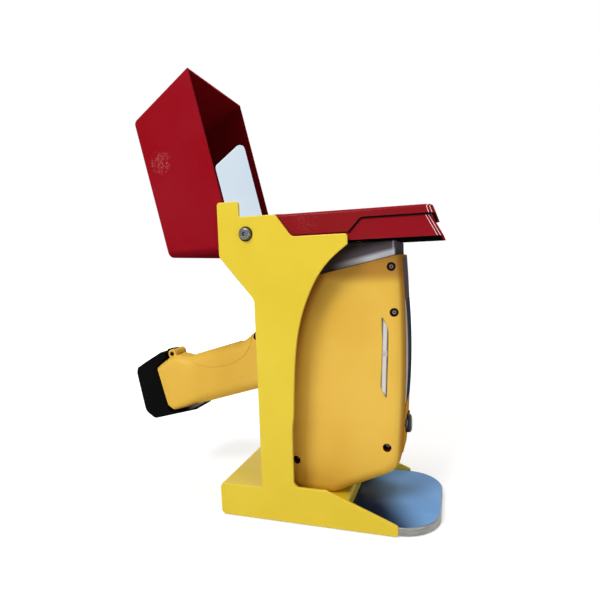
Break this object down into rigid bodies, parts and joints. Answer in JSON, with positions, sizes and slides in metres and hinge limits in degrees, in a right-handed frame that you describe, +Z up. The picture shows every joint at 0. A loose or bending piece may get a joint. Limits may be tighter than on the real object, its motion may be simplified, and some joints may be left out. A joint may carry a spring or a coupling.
{
  "type": "benchtop analyser test stand with docked handheld analyser",
  "caption": "Bench test stand with a hinged shielding lid over a sample stage, holding a docked pistol-grip handheld analyser nose-up for hands-free measuring.",
  "frame": {"origin": "on the table, below the rear edge of the two columns and midway between the side cheeks", "axes": "+X towards the screen side of the analyser and the front of the stand, +Y towards the far cheek, +Z up"},
  "size_m": [0.373, 0.1488, 0.476],
  "materials": {
    "yellow_paint": "semi-gloss powder coat",
    "red_paint": "semi-gloss powder coat",
    "black_paint": "matt black paint",
    "plate_steel": "ground steel with a protective film on top",
    "zinc_steel": "zinc plated",
    "stainless": "stainless, turned",
    "black_steel": "black oxide",
    "black_rubber": "moulded rubber",
    "lead_glass": "pale blue lead glass",
    "shell_plastic": "satin moulded plastic",
    "silver_plastic": "silver lacquer",
    "black_plastic": "moulded plastic",
    "boot_plastic": "soft-touch moulded plastic",
    "lens_plastic": "frosted light pipe",
    "dark_glass": "polished cover glass",
    "film": "thin polymer film",
    "board": "solder mask",
    "aluminium": "machined"
  },
  "bodies": {
    "stand": {"near_cheek": "yellow_paint", "far_cheek": "yellow_paint", "base_housing": "yellow_paint", "base_plate": "plate_steel", "rubber_feet": "black_rubber", "frame_blocks": "yellow_paint", "plate_screws": "zinc_steel", "dock_guides": "black_rubber", "stage_cover": "red_paint", "stage_shroud": "red_paint", "stage_floor": "black_paint", "aperture_ring": "zinc_steel", "stage_rails": "yellow_paint", "hinge_screws": "stainless", "hinge_washers": "black_rubber", "hinge_nuts": "stainless", "lid_stop_bar": "yellow_paint"},
    "lid": {"lid_shell": "red_paint", "lid_window": "lead_glass"},
    "analyser": {"nose": "silver_plastic", "window_frame": "black_paint", "window_film": "film", "shell_near": "shell_plastic", "shell_far": "shell_plastic", "status_lenses": "lens_plastic", "shell_screws": "black_steel", "top_deck": "silver_plastic", "display_bezel": "silver_plastic", "display_glass": "dark_glass", "display_panel": "black_plastic", "keypad_panel": "shell_plastic", "main_board": "board", "heat_sink": "aluminium", "measuring_head": "aluminium", "xray_tube": "stainless", "detector": "stainless", "display_board": "board", "trigger_pin": "zinc_steel", "battery": "black_plastic", "battery_contacts": "black_plastic", "cover_pin": "black_steel"},
    "nav_key": {"nav_key": "black_plastic"},
    "power_key": {"power_key": "black_plastic"},
    "menu_key": {"menu_key": "black_plastic"},
    "trigger": {"trigger": "black_plastic"},
    "battery_cover": {"battery_cover": "boot_plastic", "hinge_sleeve": "shell_plastic"}
  },
  "joints": [
    {"name": "lid_hinge", "type": "hinge", "parent": "stand", "child": "lid", "pos_m": [-0.006, 0, 0.3003], "axis": [0, 1, 0], "range_deg": [0, 103.2]},
    {"name": "analyser_dock", "type": "slide", "parent": "stand", "child": "analyser", "axis": [1, 0, 0], "range_m": [0, 0.37]},
    {"name": "nav_press", "type": "slide", "parent": "analyser", "child": "nav_key", "axis": [-1, 0, 0], "range_m": [0, 0.001], "stiffness_N_per_m": 400, "springref_m": -0.001},
    {"name": "power_press", "type": "slide", "parent": "analyser", "child": "power_key", "axis": [-1, 0, 0], "range_m": [0, 0.001], "stiffness_N_per_m": 400, "springref_m": -0.001},
    {"name": "menu_press", "type": "slide", "parent": "analyser", "child": "menu_key", "axis": [-1, 0, 0], "range_m": [0, 0.001], "stiffness_N_per_m": 400, "springref_m": -0.001},
    {"name": "trigger_pull", "type": "hinge", "parent": "analyser", "child": "trigger", "pos_m": [0.004, 0, 0.204], "axis": [0, -1, 0], "range_deg": [0, 5], "stiffness_Nm_per_rad": 0.3, "springref_deg": -8.59},
    {"name": "cover_hinge", "type": "hinge", "parent": "analyser", "child": "battery_cover", "pos_m": [-0.138, 0, 0.1636], "axis": [0, 1, 0], "range_deg": [0, 100]}
  ]
}
